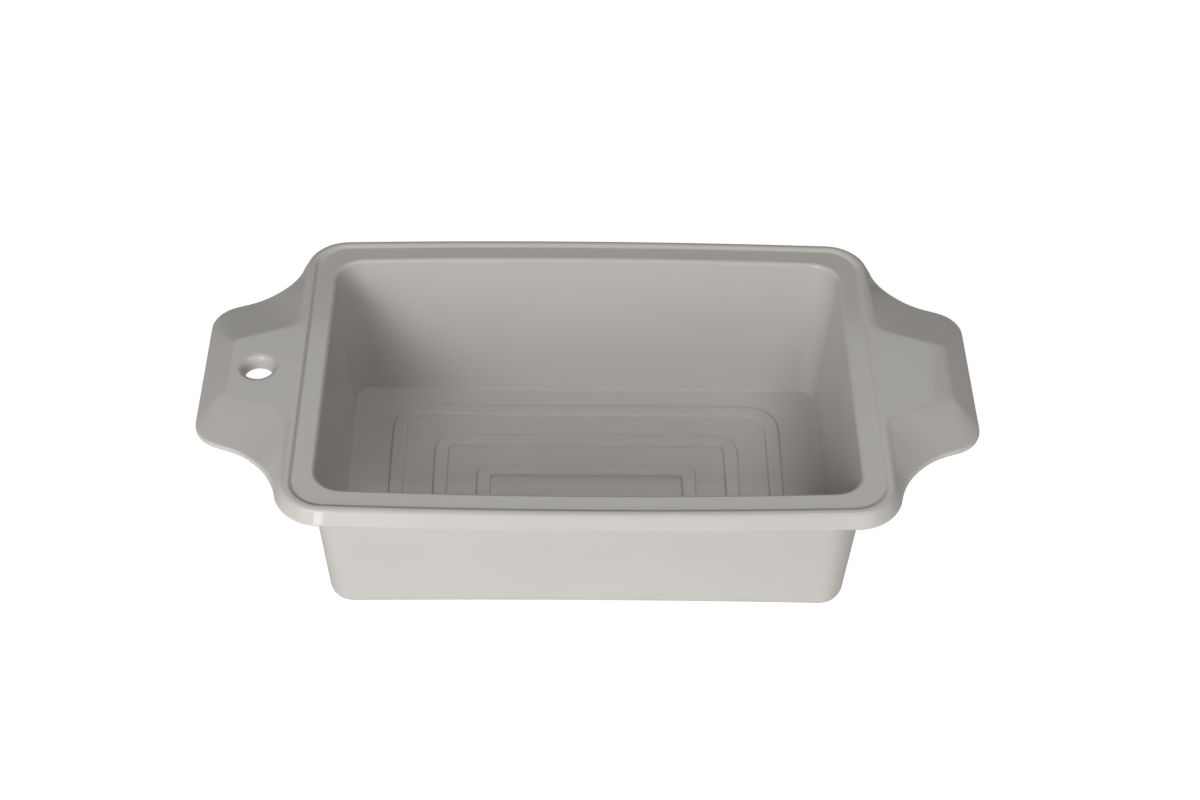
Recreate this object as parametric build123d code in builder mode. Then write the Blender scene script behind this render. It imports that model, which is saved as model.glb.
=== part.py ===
"""Loaf pan: a soft silicone tray moulded over a welded steel wire frame.

The tray, its stepped rim and its two tab handles are one moulding.  A steel
wire runs round inside the rim's outer bead, and a bent wire loop in each
handle is welded to it.  Everything is at rest, in millimetres, with +Z up,
+X towards the plain handle and the origin under the middle of the base.
"""

from build123d import *
from math import atan2, cos, degrees, radians, sin, sqrt, tan
import os

# Driving dimensions -------------------------------------------------------
mouth_length = 214.4        # tray opening, wall to wall along X
mouth_width = 137.4         # tray opening, wall to wall along Y at the corners
mouth_corner = 12.0         # plan radius of the opening's corners
side_bow = 2.4              # each long side swells outwards this much midway
base_draw = 1.1             # and at the base it is drawn in this much midway
depth = 68.6                # from the rim's flat down to the floor
wall_draft = 4.4            # degrees that the walls lean outwards
floor_corner = 7.0          # plan radius of the floor's corners
wall = 2.5                  # silicone thickness of the walls
floor_thick = 2.4           # silicone thickness of the floor
mouth_round = 1.6           # rounding where the wall turns into the rim
floor_round = 1.5           # rounding between wall and floor, inside
base_round = 6.5            # rounding between wall and base, outside

band_width = 9.0            # flat of the rim, from the wall to the step
band_thick = 3.0            # silicone thickness under that flat
rim_corner = 14.0           # plan radius of the step's corners
step_height = 1.0           # the outer bead stands this much above the flat
step_run = 0.5              # lean of the step's face
lip_reach = 6.3             # from the foot of the step to the lip's edge
lip_depth = 5.5             # from the flat down to the underside of the lip
end_swell = 0.7             # the lip reaches this much further at the two ends
lip_lean = 28.0             # degrees that the lip's face leans in from upright
lip_round = 2.2             # rounding along the crest of the bead
bead_inset = 1.2            # the bead's inner face lies inside the step's foot

tab_reach = 34.0            # handle, from the lip's edge to the tab's end
tab_end = 56.9              # straight part of the tab's end
tab_corner = 14.3           # plan radius of the tab's two corners
tab_taper = 21.5            # degrees that the tab's and the pad's sides open towards the rim
tab_edge = 2.5              # thickness of the tab at its edge
root_round = 33.0           # hollow curve where the tab joins the rim
root_share = 0.35           # part of that curve that runs beside the pad

pad_reach = 24.3            # raised pad on the tab, from the lip's edge
pad_end = 28.0              # straight part of the pad's end
pad_corner = 3.0            # plan radius of the pad's two corners
pad_root_round = 9.0        # hollow curve where the pad meets the rim
pad_round = 1.5             # rounding of the pad's edge
tab_round = 1.0             # rounding of the tab's upper edge
under_round = 0.8           # rounding under the tab's and the lip's edge

hole_diameter = 11.7        # hang hole, in one handle only
hole_setback = 11.6         # its centre, from the lip's edge
hole_round = 2.7            # rounding of its upper edge

ring_length = 169.6         # outermost raised ring on the floor
ring_width = 103.0
ring_corner = 14.0
ring_pitch = 18.8           # from each ring in to the next one
ring_corner_step = 4.5      # each ring inwards is this much less rounded
ring_band = 6.2             # width of the flat top of a ring
ring_inner_corner = 1.5     # least rounding inside a ring
ring_height = 1.3
ring_count = 3

wire_diameter = 2.5         # steel wire of the frame
wire_inset = 2.0            # rim wire's centre, outside the step's foot
wire_drop = 2.25            # the wires' centre, below the rim's flat
loop_half_width = 15.0      # handle loop, from its middle to each leg
loop_reach = 22.8           # handle loop, from the lip's edge to its far side
loop_bend = 9.0             # bend radius of the loop's corners

# Heights and half sizes that follow ----------------------------------------
rim_z = floor_thick + depth
crest_z = rim_z + step_height
lip_z = rim_z - lip_depth
tab_z = lip_z + tab_edge
wire_z = rim_z - wire_drop
draft_inset = depth * tan(radians(wall_draft))
lip_inset = (crest_z - lip_z) * tan(radians(lip_lean))
lip_grow = band_width + lip_reach
lip_x = mouth_length / 2 + lip_grow + end_swell
crest_x = lip_x - lip_inset
under_x = mouth_length / 2 + band_width / 2
lip_corner = rim_corner + lip_reach
corner_y = mouth_width / 2 + lip_grow - lip_corner
hole_x = lip_x + hole_setback
wire_grow = band_width + wire_inset
over = 1.0                  # cutters run past the faces that they open
near = 0.05                 # faces and edges are picked within this distance


def outline(z, grow, corner, bow=side_bow, swell=0.0):
    """Rounded oblong with bowed long sides, grown outwards from the mouth."""
    x = mouth_length / 2 + grow + swell
    y = mouth_width / 2 + grow
    with BuildSketch(Plane.XY.offset(z)) as oblong:
        with BuildLine():
            Line((x, -y), (x, y))
            Line((-x, y), (-x, -y))
            ThreePointArc((x, y), (0, y + bow), (-x, y))
            ThreePointArc((-x, -y), (0, -y - bow), (x, -y))
        make_face()
        fillet(oblong.vertices(), corner)
    return oblong.sketch


def side_of(end_x, end_length, corner, taper):
    """A tab's side: the point where it leaves its corner, and its normal."""
    normal = Vector(sin(radians(taper)), cos(radians(taper)))
    return Vector(end_x - corner, end_length / 2) + normal * corner, normal


def both_sides(half, z):
    """A face at height z from the edges of its half on the +Y side."""
    mirrored = [edge.mirror(Plane.XZ) for edge in half]
    return Pos(0, 0, z) * Face(Wire(half + mirrored))


def tab_outline():
    """The handle's edge, with a hollow curve into each corner of the lip.

    The curve is two arcs, so that the first one pairs with the pad's own
    hollow curve and the second one with the straight crest beside it.
    """
    end_x = lip_x + tab_reach
    leave, normal = side_of(end_x, tab_end, tab_corner, tab_taper)
    along = Vector(-normal.Y, normal.X)
    lip_centre = Vector(lip_x - lip_corner, corner_y)
    foot = leave + normal * root_round
    gap = foot - lip_centre
    run = -gap.dot(along) - sqrt(gap.dot(along) ** 2 - gap.dot(gap) + (lip_corner + root_round) ** 2)
    centre = foot + along * run
    start = 270 - tab_taper
    sweep = degrees(atan2(centre.Y - lip_centre.Y, centre.X - lip_centre.X)) + 180 - start
    by_pad = CenterArc(centre, root_round, start, sweep * root_share)
    by_rim = CenterArc(centre, root_round, start + sweep * root_share, sweep * (1 - root_share))
    return both_sides([
        Line((end_x, 0), (end_x, tab_end / 2)),
        CenterArc((end_x - tab_corner, tab_end / 2), tab_corner, 0, 90 - tab_taper),
        Line(leave, by_pad @ 0),
        by_pad,
        by_rim,
        Line(by_rim @ 1, (under_x, (by_rim @ 1).Y)),
        Line((under_x, (by_rim @ 1).Y), (under_x, 0)),
    ], tab_z)


def pad_outline():
    """The raised pad's edge, which opens into the crest of the rim's bead."""
    end_x = lip_x + pad_reach
    leave, normal = side_of(end_x, pad_end, pad_corner, tab_taper)
    root_x = crest_x + pad_root_round
    root_y = (normal.dot(leave) + pad_root_round - normal.X * root_x) / normal.Y
    root = CenterArc((root_x, root_y), pad_root_round, 270 - tab_taper, tab_taper - 90)
    return both_sides([
        Line((end_x, 0), (end_x, pad_end / 2)),
        CenterArc((end_x - pad_corner, pad_end / 2), pad_corner, 0, 90 - tab_taper),
        Line(leave, root @ 0),
        root,
        Line(root @ 1, (crest_x, corner_y)),
        Line((crest_x, corner_y), (under_x, corner_y)),
        Line((under_x, corner_y), (under_x, 0)),
    ], crest_z)


def floor_ring(step):
    """One raised ring of the floor, counted inwards from the outermost."""
    length = ring_length - 2 * ring_pitch * step
    width = ring_width - 2 * ring_pitch * step
    corner = ring_corner - ring_corner_step * step
    with BuildSketch(Plane.XY.offset(floor_thick)) as ring:
        RectangleRounded(length, width, corner)
        RectangleRounded(length - 2 * ring_band, width - 2 * ring_band,
                         max(corner - ring_band, ring_inner_corner), mode=Mode.SUBTRACT)
    return ring.sketch


os.makedirs("parts", exist_ok=True)

# Steel frame: the rim wire, then a bent loop for each handle ----------------
with BuildPart() as rim_wire:
    path = outline(wire_z, wire_grow, rim_corner + wire_inset).face().outer_wire()
    with BuildSketch(Plane(origin=path @ 0, z_dir=path % 0)):
        Circle(wire_diameter / 2)
    sweep(path=path, transition=Transition.ROUND)

with BuildPart() as right_handle_wire:
    root_x = mouth_length / 2 + wire_grow
    far_x = lip_x + loop_reach
    with BuildLine() as loop:
        FilletPolyline(
            (root_x, -loop_half_width, wire_z),
            (far_x, -loop_half_width, wire_z),
            (far_x, loop_half_width, wire_z),
            (root_x, loop_half_width, wire_z),
            radius=loop_bend,
        )
    with BuildSketch(Plane(origin=loop.line @ 0, z_dir=loop.line % 0)):
        Circle(wire_diameter / 2)
    sweep(path=loop.line)
    add(rim_wire.part, mode=Mode.SUBTRACT)

with BuildPart() as left_handle_wire:
    add(mirror(right_handle_wire.part, about=Plane.YZ))

# Silicone moulding: one handle, then the rim, the tray and what is cut away ---
with BuildPart() as handle:
    edge = tab_outline()
    extrude(edge, amount=tab_edge, dir=(0, 0, -1))
    loft([edge, pad_outline()], ruled=True)
    for z, from_x, radius in (
        (crest_z, crest_x, pad_round),
        (tab_z, lip_x, tab_round),
        (lip_z, lip_x, under_round),
    ):
        level = handle.edges().filter_by_position(Axis.Z, z - near, z + near)
        fillet(level.filter_by_position(Axis.X, from_x + near, lip_x + tab_reach + near), radius)

with BuildPart() as pan_body:
    loft([
        outline(lip_z, lip_grow, lip_corner, swell=end_swell),
        outline(crest_z, lip_grow - lip_inset, lip_corner - lip_inset, swell=end_swell),
    ], ruled=True)
    fillet(pan_body.faces().sort_by(Axis.Z)[-1].edges(), lip_round)
    fillet(pan_body.faces().sort_by(Axis.Z)[0].edges(), under_round)
    add(handle.part)
    add(mirror(handle.part, about=Plane.YZ))

    # The flat of the rim lies below the bead, and the bead hangs below the flat.
    step_top = band_width + step_run * (1 + over / step_height)
    loft([
        outline(rim_z, band_width, rim_corner),
        outline(crest_z + over, step_top, rim_corner),
    ], ruled=True, mode=Mode.SUBTRACT)
    bead_face = outline(lip_z - over, band_width - bead_inset, rim_corner - bead_inset)
    extrude(bead_face, amount=lip_depth - band_thick + over, mode=Mode.SUBTRACT)

    # The tray leans out from its base and fills the rim, and the cavity opens it.
    loft([
        outline(0, wall - draft_inset, floor_corner + wall, -base_draw),
        outline(rim_z, wall, mouth_corner + wall),
    ], ruled=True)
    fillet(pan_body.faces().sort_by(Axis.Z)[0].edges(), base_round)
    loft([
        outline(floor_thick, -draft_inset, floor_corner, -base_draw),
        outline(rim_z, 0, mouth_corner),
    ], ruled=True, mode=Mode.SUBTRACT)
    levels = pan_body.faces().filter_by(Plane.XY).group_by(Axis.Z)
    fillet(levels[1].edges(), floor_round)
    flat = pan_body.faces().filter_by(Plane.XY).group_by(Axis.Z)[-2][0]
    fillet(flat.inner_wires()[0].edges(), mouth_round)

    for step in range(ring_count):
        extrude(floor_ring(step), amount=ring_height)

    # The hang hole goes through the handle on the -X side.
    with BuildSketch(Plane.XY.offset(crest_z)):
        with Locations((-hole_x, 0)):
            Circle(hole_diameter / 2)
    extrude(amount=lip_z - crest_z, mode=Mode.SUBTRACT)
    fillet(pan_body.edges(Select.LAST).group_by(Axis.Z)[-1], hole_round)

    # The frame lies in channels of its own size, closed all round.
    for wire in (rim_wire, left_handle_wire, right_handle_wire):
        add(wire.part, mode=Mode.SUBTRACT)

pieces = {
    "pan_body": pan_body,
    "rim_wire": rim_wire,
    "left_handle_wire": left_handle_wire,
    "right_handle_wire": right_handle_wire,
}
for name, piece in pieces.items():
    piece.part.label = name
    export_step(piece.part, f"parts/{name}.step")
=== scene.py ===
# %% [markdown]
# # A silicone loaf pan
#
# This lesson builds the looks of a soft baking pan in Blender.  The pan is one
# silicone moulding with a steel wire frame closed up inside its rim.  A packed
# model of it already holds the true sizes, so the script starts from there.

# %% Load the packed model
from math import atan2, cos, pi, radians, sin, sqrt, tan

import bmesh
import bpy
from mathutils import Matrix, Vector


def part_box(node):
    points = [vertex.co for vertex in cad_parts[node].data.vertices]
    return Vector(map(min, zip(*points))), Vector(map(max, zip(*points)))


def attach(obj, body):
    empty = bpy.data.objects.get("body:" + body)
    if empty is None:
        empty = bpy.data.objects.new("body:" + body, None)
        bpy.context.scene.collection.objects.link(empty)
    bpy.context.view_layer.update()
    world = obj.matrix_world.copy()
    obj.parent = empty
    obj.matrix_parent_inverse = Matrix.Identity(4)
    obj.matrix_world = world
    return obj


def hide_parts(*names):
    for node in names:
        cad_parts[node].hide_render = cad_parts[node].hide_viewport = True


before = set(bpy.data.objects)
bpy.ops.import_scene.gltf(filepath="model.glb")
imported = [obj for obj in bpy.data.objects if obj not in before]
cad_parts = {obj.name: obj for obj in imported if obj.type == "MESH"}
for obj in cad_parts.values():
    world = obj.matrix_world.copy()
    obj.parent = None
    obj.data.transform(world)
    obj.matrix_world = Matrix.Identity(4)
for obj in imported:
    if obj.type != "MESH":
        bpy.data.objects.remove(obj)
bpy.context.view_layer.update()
mm = 0.001
print("pieces:", sorted(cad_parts))

# %% [markdown]
# ## The camera
#
# The pan is seen from the front and from well above, with a fairly long lens,
# so that its far side looks only a little smaller than its near side.  A camera
# looks down its own -Z axis.  Its matrix is built from three directions:
# to the right, up, and back from the pan towards the lens.

# %% Place the camera
_, pan_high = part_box("pan_body")
view_elevation = radians(43.0)
view_azimuth = radians(-1.32)
view_roll = radians(1.34)
view_distance = 935.0 * mm
view_lens = 69.5
step_height = 1.0 * mm
rim_z = pan_high.z - step_height
view_centre = Vector((4.6 * mm, -17.4 * mm, rim_z))

back = Vector((
    sin(view_azimuth) * cos(view_elevation),
    -cos(view_azimuth) * cos(view_elevation),
    sin(view_elevation),
))
level_right = Vector((cos(view_azimuth), sin(view_azimuth), 0))
level_up = back.cross(level_right)
right = cos(view_roll) * level_right + sin(view_roll) * level_up
up = cos(view_roll) * level_up - sin(view_roll) * level_right

camera_data = bpy.data.cameras.new("camera")
camera_data.sensor_width = 36.0
camera_data.lens = view_lens
camera = bpy.data.objects.new("camera", camera_data)
turn = Matrix((right, up, back)).transposed().to_4x4()
camera.matrix_world = Matrix.Translation(view_centre + back * view_distance) @ turn
bpy.context.scene.collection.objects.link(camera)
bpy.context.scene.camera = camera
print("camera at", [round(c, 3) for c in camera.matrix_world.translation])

# %% [markdown]
# ## Outlines seen from above
#
# Every edge of this pan runs once round it: the floor's edge, the mouth, the
# foot of the step, the crest of the bead, the lip.  But for its hang hole, the
# pan is the same left and right and front and back, so a quarter is enough.
# Each outline is a list of stations, from the middle of a handle round the
# corner to the middle of a long side.  All outlines have the same number of
# stations, so that any two of them can be joined by a neat strip of four-sided
# faces.

# %% Sizes of the rim and the tray
wire_low, wire_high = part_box("rim_wire")
wire_radius = (wire_high.z - wire_low.z) / 2
band_width = 9.0 * mm
wire_inset = 2.0 * mm
wire_outside = band_width + wire_inset + wire_radius
side_bow = 2.4 * mm
mouth_x = wire_high.x - wire_outside
mouth_y = wire_high.y - wire_outside - side_bow
mouth_corner = 12.0 * mm
rim_corner = 14.0 * mm
step_run, step_back = 1.0 * mm, 0.5 * mm      # its slope's width, and its place inwards
lip_reach = 6.3 * mm
lip_depth = 5.5 * mm
lip_lean = radians(28.0)
lip_z = rim_z - lip_depth
lip_grow = band_width + lip_reach
lip_inset = (pan_high.z - lip_z) * tan(lip_lean)
lip_corner = rim_corner + lip_reach
print("mouth half size in mm:", round(mouth_x / mm, 2), round(mouth_y / mm, 2))

# %% Stations and simple stretches
# Steps in each stretch of a quarter, from the middle of a handle on.
STRETCHES = {
    "end": 6, "tab corner": 8, "side": 8, "root": 8, "beside": 14, "corner": 12, "long": 24,
}
# How far along a straight short side each of its five stretches ends.
SIDE_SHARES = (0.22, 0.27, 0.40, 0.53, 1.0)


def straight(start, finish, count):
    """Points on a line after its start, evenly spaced."""
    start, finish = Vector(start), Vector(finish)
    return [start.lerp(finish, i / count) for i in range(1, count + 1)]


def arc(centre, radius, start, sweep, count):
    """Points on an arc after its start; a negative radius takes its far side."""
    centre = Vector(centre)
    angles = [start + sweep * i / count for i in range(1, count + 1)]
    return [centre + radius * Vector((cos(a), sin(a))) for a in angles]


def corner_and_long(half_x, half_y, corner, bow, start=0.0):
    """The corner's arc and the long side, which swells by bow; the corner's centre."""
    if bow:
        big = (half_x ** 2 + bow ** 2) / (2 * bow)
        big_y = half_y + bow - big
        side = 1 if bow > 0 else -1
        away = side * sqrt((big - corner) ** 2 - (half_x - corner) ** 2)
        centre = Vector((half_x - corner, big_y + away))
        turn_end = atan2(side * away, side * centre.x)
        rest = arc((0, big_y), big, turn_end, pi / 2 - turn_end, STRETCHES["long"])
    else:
        centre = Vector((half_x - corner, half_y - corner))
        turn_end = pi / 2
        rest = straight((half_x - corner, half_y), (0, half_y), STRETCHES["long"])
    return arc(centre, corner, start, turn_end - start, STRETCHES["corner"]) + rest, centre


def oblong(half_x, half_y, corner, bow=0.0):
    """A quarter of a rounded oblong, as stations."""
    bend, centre = corner_and_long(half_x, half_y, corner, bow)
    points = [Vector((half_x, 0))]
    for count, share in zip(STRETCHES.values(), SIDE_SHARES):
        points += straight(points[-1], (half_x, share * centre.y), count)
    return points + bend


def grown(grow, corner):
    """The mouth's outline, moved outwards by grow."""
    return oblong(mouth_x + grow, mouth_y + grow, corner, side_bow)


print("stations in a quarter:", len(grown(0, mouth_corner)))

# %% [markdown]
# ## The handles' outlines
#
# The two tabs are wide at the rim and narrow outwards, and a hollow curve
# leads each side of a tab into the corner of the lip.  The raised pad on top
# has an outline of the same kind, with a smaller hollow.  Both are made of the
# same stretches: the straight end, the end's corner, the slanting side, the
# hollow, and then the piece that runs along the rim.

# %% Outlines of the tab and its pad
end_swell = 0.7 * mm        # the lip reaches this much further at the two ends
lip_x = mouth_x + lip_grow + end_swell
crest_x = lip_x - lip_inset
tab_end, tab_corner, tab_taper = 28.45 * mm, 14.3 * mm, radians(21.5)
root_round, root_share = 33.0 * mm, 0.35
pad_reach, pad_end, pad_corner = 24.3 * mm, 14.0 * mm, 3.0 * mm
pad_root_round = 9.0 * mm


def leaving(end_x, end_y, corner, taper):
    """Where a tab's slanting side starts, and the direction square to it."""
    normal = Vector((sin(taper), cos(taper)))
    return Vector((end_x - corner, end_y)) + normal * corner, normal


def tab_outline(inset=0.0):
    """The tab's edge and then the lip's, drawn in by inset along the lip."""
    _, lip_centre = corner_and_long(lip_x, mouth_y + lip_grow, lip_corner, side_bow)
    leave, normal = leaving(pan_high.x, tab_end, tab_corner, tab_taper)
    # The hollow's centre slides along the side until the hollow meets the lip's corner.
    along = Vector((-normal.y, normal.x))
    foot = leave + normal * root_round
    gap = foot - lip_centre
    apart = lip_corner + root_round
    run = -gap.dot(along) - sqrt(gap.dot(along) ** 2 - gap.dot(gap) + apart ** 2)
    centre = foot + along * run
    start = 1.5 * pi - tab_taper
    meet = atan2(centre.y - lip_centre.y, centre.x - lip_centre.x)
    sweep = meet + pi - start
    points = [Vector((pan_high.x, 0))]
    points += straight(points[-1], (pan_high.x, tab_end), STRETCHES["end"])
    corner_centre = (pan_high.x - tab_corner, tab_end)
    points += arc(corner_centre, tab_corner, 0, pi / 2 - tab_taper, STRETCHES["tab corner"])
    points += straight(leave, centre - normal * root_round, STRETCHES["side"])
    first_sweep = sweep * root_share
    points += arc(centre, root_round, start, first_sweep, STRETCHES["root"])
    beside = arc(centre, root_round, start + first_sweep, sweep - first_sweep, STRETCHES["beside"])
    for i, point in enumerate(beside, 1):
        share = i / len(beside)
        eased = share * share * (3 - 2 * share)
        points.append(point + (point - centre).normalized() * inset * eased)
    half_y = mouth_y + lip_grow - inset
    bend, _ = corner_and_long(lip_x - inset, half_y, lip_corner - inset, side_bow, meet)
    return points + bend


def pad_outline():
    """The pad's edge and then the outer edge of the bead's crest."""
    half_y = mouth_y + lip_grow - lip_inset
    bend, crest_centre = corner_and_long(crest_x, half_y, lip_corner - lip_inset, side_bow)
    end_x = lip_x + pad_reach
    leave, normal = leaving(end_x, pad_end, pad_corner, tab_taper)
    centre_x = crest_x + pad_root_round
    centre_y = (normal.dot(leave) + pad_root_round - normal.x * centre_x) / normal.y
    centre = Vector((centre_x, centre_y))
    start = 1.5 * pi - tab_taper
    points = [Vector((end_x, 0))]
    points += straight(points[-1], (end_x, pad_end), STRETCHES["end"])
    corner_centre = (end_x - pad_corner, pad_end)
    points += arc(corner_centre, pad_corner, 0, pi / 2 - tab_taper, STRETCHES["tab corner"])
    points += straight(leave, centre - normal * pad_root_round, STRETCHES["side"])
    points += arc(centre, pad_root_round, start, tab_taper - pi / 2, STRETCHES["root"])
    points += straight(points[-1], (crest_x, crest_centre.y), STRETCHES["beside"])
    return points + bend


print("tab reaches", round((pan_high.x - lip_x) / mm, 1), "mm past the lip")

# %% [markdown]
# ## Pulling the moulding out of one loop
#
# A thin moulding is easy to make from a single chain of edges.  The chain is
# extruded, the new copy is moved to the next outline, and so on: out over the
# floor and its rings, up the inside of the wall, over the rim and the lip, in
# underneath, and down the outside to the base.  An edge tag remembers which
# chain is which, because each one gets a rounding of its own later.

# %% Sizes of the floor, its rings and the outside
floor_thick = 2.4 * mm
wall_draft = radians(4.4)
wall = 2.5 * mm
base_draw = 1.1 * mm      # a long side is drawn in this much at the base
draft_inset = (rim_z - floor_thick) * tan(wall_draft)
floor_corner = 7.0 * mm
band_thick = 3.0 * mm
bead_inset = 1.2 * mm
tab_edge = 2.5 * mm
tab_z = lip_z + tab_edge
edge_inset = tab_edge * tan(lip_lean)

ring_x, ring_y, ring_corner = 84.8 * mm, 51.5 * mm, 14.0 * mm
ring_pitch, ring_corner_step = 18.8 * mm, 4.5 * mm
ring_band, ring_height, ring_count = 6.2 * mm, 1.3 * mm, 3
ring_inner_corner = 1.5 * mm
ring_top_z = floor_thick + ring_height
print("floor half size in mm:", round((mouth_x - draft_inset) / mm, 1), "by",
      round((mouth_y - draft_inset) / mm, 1))

# %% Roundings, each as a distance along the two faces that meet
ring_foot_round, ring_inner_round, ring_outer_round = 0.1 * mm, 0.95 * mm, 0.9 * mm
floor_round, mouth_round, step_round = 0.6 * mm, 1.5 * mm, 0.6 * mm
crest_round, tab_round, lip_round = 1.3 * mm, 0.9 * mm, 1.33 * mm
bead_round, root_fillet, base_round = 0.6 * mm, 0.8 * mm, 6.0 * mm
print("largest rounding in mm:", round(base_round / mm, 1), "at the base")

# %% List the chains, from the innermost ring to the base
chains = []


def chain(name, stations, z, rounding):
    """Notes the next chain: its stations, its height and its rounding."""
    chains.append((name, stations, z, rounding))


def tray(grow, corner):
    """The outline at the foot of the tray's wall, moved outwards by grow."""
    return oblong(mouth_x - draft_inset + grow, mouth_y - draft_inset + grow, corner, -base_draw)


for step in reversed(range(ring_count)):
    outer_x, outer_y = ring_x - step * ring_pitch, ring_y - step * ring_pitch
    outer_corner = ring_corner - step * ring_corner_step
    inner_corner = max(outer_corner - ring_band, ring_inner_corner)
    inner = oblong(outer_x - ring_band, outer_y - ring_band, inner_corner)
    outer = oblong(outer_x, outer_y, outer_corner)
    chain(f"ring {step} inner foot", inner, floor_thick, ring_foot_round)
    chain(f"ring {step} inner top", inner, ring_top_z, ring_inner_round)
    chain(f"ring {step} outer top", outer, ring_top_z, ring_outer_round)
    chain(f"ring {step} outer foot", outer, floor_thick, ring_foot_round)

step_grow = band_width - step_back
bead_grow = band_width - bead_inset
bead_inside = grown(bead_grow, rim_corner - bead_inset)
chain("floor edge", tray(0, floor_corner), floor_thick, floor_round)
chain("mouth", grown(0, mouth_corner), rim_z, mouth_round)
chain("step foot", grown(step_grow, rim_corner), rim_z, step_round)
chain("step top", grown(step_grow + step_run, rim_corner), pan_high.z, step_round)
chain("crest", pad_outline(), pan_high.z, crest_round)
chain("upper edge", tab_outline(edge_inset), tab_z, tab_round)
chain("lower edge", tab_outline(), lip_z, lip_round)
chain("bead inside", bead_inside, lip_z, bead_round)
chain("bead root", bead_inside, rim_z - band_thick, bead_round)
chain("wall root", grown(wall, mouth_corner + wall), rim_z - band_thick, root_fillet)
chain("base", tray(wall, floor_corner + wall), 0.0, base_round)
print("chains:", ", ".join(name for name, *_ in chains))

# %% Extrude from chain to chain
def pull(bm, verts, stations, z):
    """Extrudes a chain of edges and moves the copy to its stations."""
    edges = [bm.edges.get(pair) for pair in zip(verts, verts[1:])]
    made = bmesh.ops.extrude_edge_only(bm, edges=edges)["geom"]
    fresh = {v for v in made if isinstance(v, bmesh.types.BMVert)}
    moved = [next(e.other_vert(v) for e in v.link_edges if e.other_vert(v) in fresh) for v in verts]
    for vert, point in zip(moved, stations):
        vert.co = (point.x, point.y, z)
    return moved


bm = bmesh.new()
tags = bm.edges.layers.int.new("chain")
_, first, first_z, _ = chains[0]
verts = [bm.verts.new((p.x, p.y, first_z)) for p in first]
for pair in zip(verts, verts[1:]):
    bm.edges.new(pair)[tags] = 1
for number, (_, stations, z, _) in enumerate(chains[1:], 2):
    verts = pull(bm, verts, stations, z)
    for pair in zip(verts, verts[1:]):
        bm.edges.get(pair)[tags] = number
print("faces in a quarter:", len(bm.faces))

# %% [markdown]
# ## From a quarter to the whole, with its edges rounded
#
# The quarter is mirrored twice and the middles of the floor and of the base are
# closed.  Then each chain is bevelled.  On a real moulding every edge has a
# small radius, and these thin bright or dark lines are most of what the eye
# reads on a pan of one colour.

# %% Mirror, close and round
merge_distance = 0.001 * mm
for axis in "XY":
    whole = bm.verts[:] + bm.edges[:] + bm.faces[:]
    bmesh.ops.mirror(bm, geom=whole, axis=axis, merge_dist=merge_distance)
bmesh.ops.remove_doubles(bm, verts=bm.verts[:], dist=merge_distance)
open_edges = [e for e in bm.edges if e.is_boundary]
bmesh.ops.holes_fill(bm, edges=open_edges, sides=0)
bmesh.ops.recalc_face_normals(bm, faces=bm.faces[:])

small_round, few_segments, more_segments = 1.0 * mm, 3, 6
for number, (_, _, _, rounding) in enumerate(chains, 1):
    edges = [e for e in bm.edges if e[tags] == number]
    bmesh.ops.bevel(
        bm, geom=edges, offset=rounding, offset_type="OFFSET", affect="EDGES",
        segments=few_segments if rounding < small_round else more_segments,
        profile=0.5, material=-1, loop_slide=True,
    )
    for edge in bm.edges:
        if edge[tags] == number:
            edge[tags] = 0
print("faces after rounding:", len(bm.faces))

# %% [markdown]
# ## The hang hole
#
# The handle on the -X side has a round hole for a hook, with a generous
# rounding at its upper edge.  A short line of points, the section of the hole's
# side, is spun once round the hole's middle.  The faces over and under the hole
# are flat, so they can be taken out and filled again round the two circles.

# %% The hole's sizes and its section
hole_radius, hole_setback = 5.85 * mm, 11.6 * mm
hole_round, lower_round = 2.7 * mm, 0.2 * mm
hole_steps = 48
hole_centre = Vector((-lip_x - hole_setback, 0, 0))


def hole_section():
    """The hole's side as points from its upper edge down to its lower one."""
    upper_centre = (hole_radius + hole_round, pan_high.z - hole_round)
    lower_centre = (hole_radius + lower_round, lip_z + lower_round)
    upper = arc(upper_centre, -hole_round, -pi / 2, pi / 2, more_segments)
    lower = arc(lower_centre, -lower_round, 0, pi / 2, few_segments)
    points = [Vector((hole_radius + hole_round, pan_high.z))] + upper
    points += [Vector((hole_radius, lip_z + lower_round))] + lower
    return [hole_centre + Vector((p.x, 0, p.y)) for p in points]


print("points in the hole's section:", len(hole_section()))


# %% Cut the hang hole
hole_reach = 20 * mm         # flat faces are looked for this far inwards of the hole
flat_normal, flat_slack = 0.9999, 0.01 * mm


def near_hole(face, z):
    """Tells whether a face lies flat at a height, close to the hole."""
    middle = face.calc_center_median()
    flat = abs(face.normal.z) > flat_normal and abs(middle.z - z) < flat_slack
    return flat and abs(middle.y) < pad_end and middle.x < hole_centre.x + hole_reach


def open_flat(bm, z):
    """Takes out the flat faces at a height near the hole; gives their border."""
    found = [f for f in bm.faces if near_hole(f, z)]
    edges = dict.fromkeys(e for f in found for e in f.edges)
    border = [e for e in edges if sum(f in found for f in e.link_faces) == 1]
    bmesh.ops.delete(bm, geom=found, context="FACES")
    return border


def fill_round(bm, edges, up):
    """Fills between a border and the hole's circle; up is 1 or -1."""
    bmesh.ops.triangle_fill(
        bm, edges=edges, use_beauty=True, use_dissolve=False, normal=(0, 0, up),
    )


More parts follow.
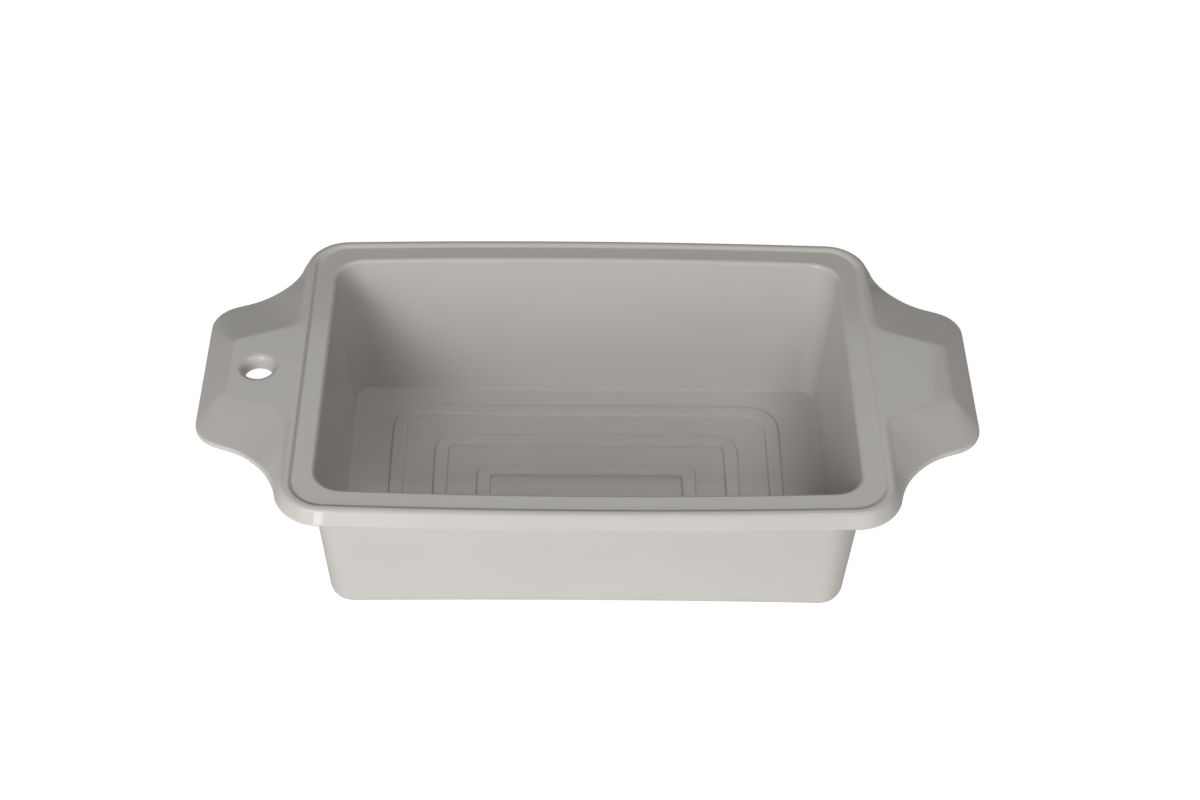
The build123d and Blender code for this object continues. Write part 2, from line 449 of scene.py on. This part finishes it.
over = open_flat(bm, pan_high.z)
under = open_flat(bm, lip_z)
section = [bm.verts.new(p) for p in hole_section()]
edges = [bm.edges.new(pair) for pair in zip(section, section[1:])]
bmesh.ops.spin(
    bm, geom=section + edges, cent=hole_centre, axis=(0, 0, 1), angle=2 * pi,
    steps=hole_steps, use_merge=True,
)
rims = [e for e in bm.edges if e.is_boundary and e not in over and e not in under]
upper_ring = [e for e in rims if e.verts[0].co.z > rim_z]
lower_ring = [e for e in rims if e.verts[0].co.z < tab_z]
fill_round(bm, over + upper_ring, 1)
fill_round(bm, under + lower_ring, -1)
bmesh.ops.recalc_face_normals(bm, faces=bm.faces[:])
print("open edges:", sum(not e.is_manifold for e in bm.edges), "faces:", len(bm.faces))

# %% [markdown]
# ## Make the object
#
# Smooth shading bends light over the roundings, and the Weighted Normal
# modifier keeps the broad flats flat.  The soft moulding then stands for the
# plain packed one, which is hidden.

# %% The silicone moulding
mesh = bpy.data.meshes.new("silicone_pan")
for face in bm.faces:
    face.smooth = True
bm.to_mesh(mesh)
bm.free()
pan = bpy.data.objects.new("silicone_pan", mesh)
bpy.context.scene.collection.objects.link(pan)
weighted = pan.modifiers.new("flats stay flat", "WEIGHTED_NORMAL")
weighted.mode, weighted.weight, weighted.keep_sharp = "FACE_AREA", 50, False
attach(pan, "root")
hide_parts("pan_body")
print("triangles:", sum(len(p.vertices) - 2 for p in mesh.polygons))

# %% [markdown]
# ## Shader maths in plain Python
#
# A finish is a small sum: take a noise, scale it, add it to a roughness.  As
# nodes that is a web of wires.  A small class that wraps a socket lets the same
# sum be written as Python, and every operator makes one Math node.  Each
# operator also has its reflected form, for a number on its left.

# %% Sockets that can be calculated with
class Socket:
    """A shader socket that can be added, subtracted and multiplied like a number."""

    def __init__(self, finish, socket):
        self.finish = finish
        self.socket = socket

    def maths(self, operation, *numbers):
        """Makes one Math node that works on numbers or sockets."""
        inputs = dict(enumerate(numbers))
        return self.finish.node("ShaderNodeMath", {"operation": operation}, inputs)

    def __add__(self, other):
        return self.maths("ADD", self, other)

    def __sub__(self, other):
        return self.maths("SUBTRACT", self, other)

    def __rsub__(self, other):
        return self.maths("SUBTRACT", other, self)

    def __mul__(self, other):
        return self.maths("MULTIPLY", self, other)

    __radd__ = __add__
    __rmul__ = __mul__


print("reflected forms:", [name for name in vars(Socket) if name.startswith("__r")])


# %% Finishes made of nodes
class Finish:
    """A material whose nodes all come from one method."""

    def __init__(self, name):
        self.material = bpy.data.materials.new(name)
        self.material.use_nodes = True
        self.tree = self.material.node_tree
        self.tree.nodes.clear()

    def node(self, kind, settings=None, inputs=None, output=0):
        """Makes a node, sets it, fills its inputs and gives one of its outputs."""
        made = self.tree.nodes.new(kind)
        for name, value in (settings or {}).items():
            setattr(made, name, value)
        for key, value in (inputs or {}).items():
            if isinstance(value, Socket):
                self.tree.links.new(value.socket, made.inputs[key])
            else:
                made.inputs[key].default_value = value
        return Socket(self, made.outputs[output]) if made.outputs else None

    def noise(self, place, scale, detail=2.0, stretch=(1, 1, 1)):
        """A noise from -0.5 to 0.5; scale is its lumps per metre."""
        moved = self.node("ShaderNodeVectorMath", {"operation": "MULTIPLY"}, {0: place, 1: stretch})
        inputs = {"Vector": moved, "Scale": scale, "Detail": detail}
        return self.node("ShaderNodeTexNoise", {}, inputs) - 0.5

    def blend(self, share, first, second):
        """A colour between two colours."""
        inputs = {0: share, 6: (*first, 1), 7: (*second, 1)}
        return self.node("ShaderNodeMix", {"data_type": "RGBA"}, inputs, output=2)

    def relief(self, height, depth):
        """A bump; depth in metres for a height of 1."""
        return self.node("ShaderNodeBump", {}, {"Height": height, "Distance": depth})

    def surface(self, inputs):
        """The Principled shader, with the inputs given to it."""
        return self.node("ShaderNodeBsdfPrincipled", {}, inputs)

    def cover(self, objects, surface):
        """Ends the finish with a surface, and puts it on the objects."""
        self.node("ShaderNodeOutputMaterial", {}, {"Surface": surface})
        for thing in objects:
            thing.data.materials.clear()
            thing.data.materials.append(self.material)
        print(self.material.name, "has", len(self.tree.nodes), "nodes, on", len(objects), "objects")


print("a finish is made with:", [name for name in vars(Finish) if name[0] != "_"])


# %% [markdown]
# ## The silicone
#
# Baking silicone is filled with pigment, so it is opaque and nearly matt, in a
# warm light grey.  It is cast against a polished mould, which leaves a thin
# smooth skin that shows a small bright light as a crisp streak.  Two things
# break up the evenness: faint cloudy tone where the pigment settled, and a very
# fine orange peel in the surface.

# %% Silicone finish
silicone = Finish("warm grey silicone")
place = silicone.node("ShaderNodeTexCoord", output="Object")
clouds = silicone.noise(place, 28, detail=3)
grain = silicone.noise(place, 420, detail=2)
peel = silicone.noise(place, 160, detail=1)
darker_grey, lighter_grey = (0.588, 0.568, 0.540), (0.612, 0.592, 0.562)
pigment = silicone.blend(clouds * 1.4 + 0.5, darker_grey, lighter_grey)
silicone.cover([pan], silicone.surface({
    "Base Color": pigment,
    "Roughness": 0.8 + clouds * 0.08 + grain * 0.06,
    "Coat Weight": 0.6,
    "Coat Roughness": 0.05,
    "Normal": silicone.relief(grain + 0.6 * peel, 0.006 * mm),
}))

# %% [markdown]
# ## The steel
#
# The frame is drawn wire.  It stays shut inside the silicone, yet it has its own
# finish, so that the pieces look right when the model is taken apart.  Drawing
# leaves fine lines, and handling leaves a slightly uneven shine.

# %% Drawn steel finish
steel = Finish("drawn steel wire")
place = steel.node("ShaderNodeTexCoord", output="Object")
scratches = steel.noise(place, 900, detail=2, stretch=(0.12, 0.12, 1.0))
patches = steel.noise(place, 60)
dull_steel, bright_steel = (0.50, 0.49, 0.47), (0.62, 0.61, 0.59)
wire_names = ("rim_wire", "left_handle_wire", "right_handle_wire")
steel.cover([bpy.data.objects[name] for name in wire_names], steel.surface({
    "Base Color": steel.blend(patches + 0.5, dull_steel, bright_steel),
    "Metallic": 1.0,
    "Roughness": 0.32 + scratches * 0.2 + patches * 0.1,
    "Normal": steel.relief(scratches, 0.01 * mm),
}))

# %% [markdown]
# ## The studio
#
# The pan stands on a white sweep.  The camera sees it as plain white paper,
# with only a little shade where the pan rests on it, while the light that comes
# back from it to the pan is that of an ordinary pale table.

# %% White floor
floor_half = 6.0
sweep_mesh = bpy.data.meshes.new("white_floor")
bm = bmesh.new()
bmesh.ops.create_grid(bm, x_segments=1, y_segments=1, size=floor_half)
bm.to_mesh(sweep_mesh)
bm.free()
white_floor = bpy.data.objects.new("white_floor", sweep_mesh)
bpy.context.scene.collection.objects.link(white_floor)

paper = Finish("white paper")


def matt_white(reflects, glows):
    """A matt white that reflects one share of the light and gives off another."""
    return paper.surface({
        "Base Color": (reflects, reflects, reflects, 1), "Roughness": 1.0,
        "Specular IOR Level": 0.0,
        "Emission Color": (1, 1, 1, 1), "Emission Strength": glows,
    })


table, seen = matt_white(0.8, 0.1), matt_white(0.25, 0.93)
by_camera = paper.node("ShaderNodeLightPath")
mixed = paper.node("ShaderNodeMixShader", {}, {0: by_camera, 1: table, 2: seen})
paper.cover([white_floor], mixed)

# %% [markdown]
# ## The lights
#
# One big soft light stands low at the front left and does most of the work.  A
# high one on the right opens the shadows, a few weak ones fill in, and a small
# hard one puts the streak on the corner of the lip.  Each is a square or an
# oblong, set by its angle round from the front and its angle above the table.

# %% Lights
light_distance = 1.6
light_aim = Vector((0, 0, 40 * mm))


def softbox(name, azimuth, elevation, size, watts, colour=(1, 1, 1)):
    """An area light aimed at the pan; angles in degrees, size in metres."""
    azimuth, elevation = radians(azimuth), radians(elevation)
    away = Vector((sin(azimuth) * cos(elevation), -cos(azimuth) * cos(elevation), sin(elevation)))
    data = bpy.data.lights.new(name, "AREA")
    data.shape = "RECTANGLE"
    data.size, data.size_y = size
    data.energy, data.color = watts, colour
    light = bpy.data.objects.new(name, data)
    light.location = light_aim + light_distance * away
    light.rotation_euler = away.to_track_quat("Z", "Y").to_euler()
    bpy.context.scene.collection.objects.link(light)
    print(name, "of", watts, "W")


softbox("left softbox", -30, 33, (0.6, 0.6), 10.1)
softbox("low left softbox", -30, 14, (1.3, 0.8), 4.3)
softbox("front softbox", -12, 28, (0.5, 0.7), 1.6)
softbox("high right softbox", 45, 60, (0.6, 0.6), 5.5, (1.0, 0.98, 0.965))
softbox("low right softbox", 30, 12, (0.9, 0.5), 1.9)
softbox("back softbox", 180, 52, (0.8, 0.6), 2.0, (0.93, 0.95, 1.0))
softbox("small hard light", -18.2, 12, (0.25, 0.42), 2.5)

room_glow = 0.25
world = bpy.data.worlds.new("dim room")
world.use_nodes = True
world.node_tree.nodes["Background"].inputs["Strength"].default_value = room_glow
bpy.context.scene.world = world
bpy.context.scene.view_settings.view_transform = "Standard"

# %% [markdown]
# ## Finish
#
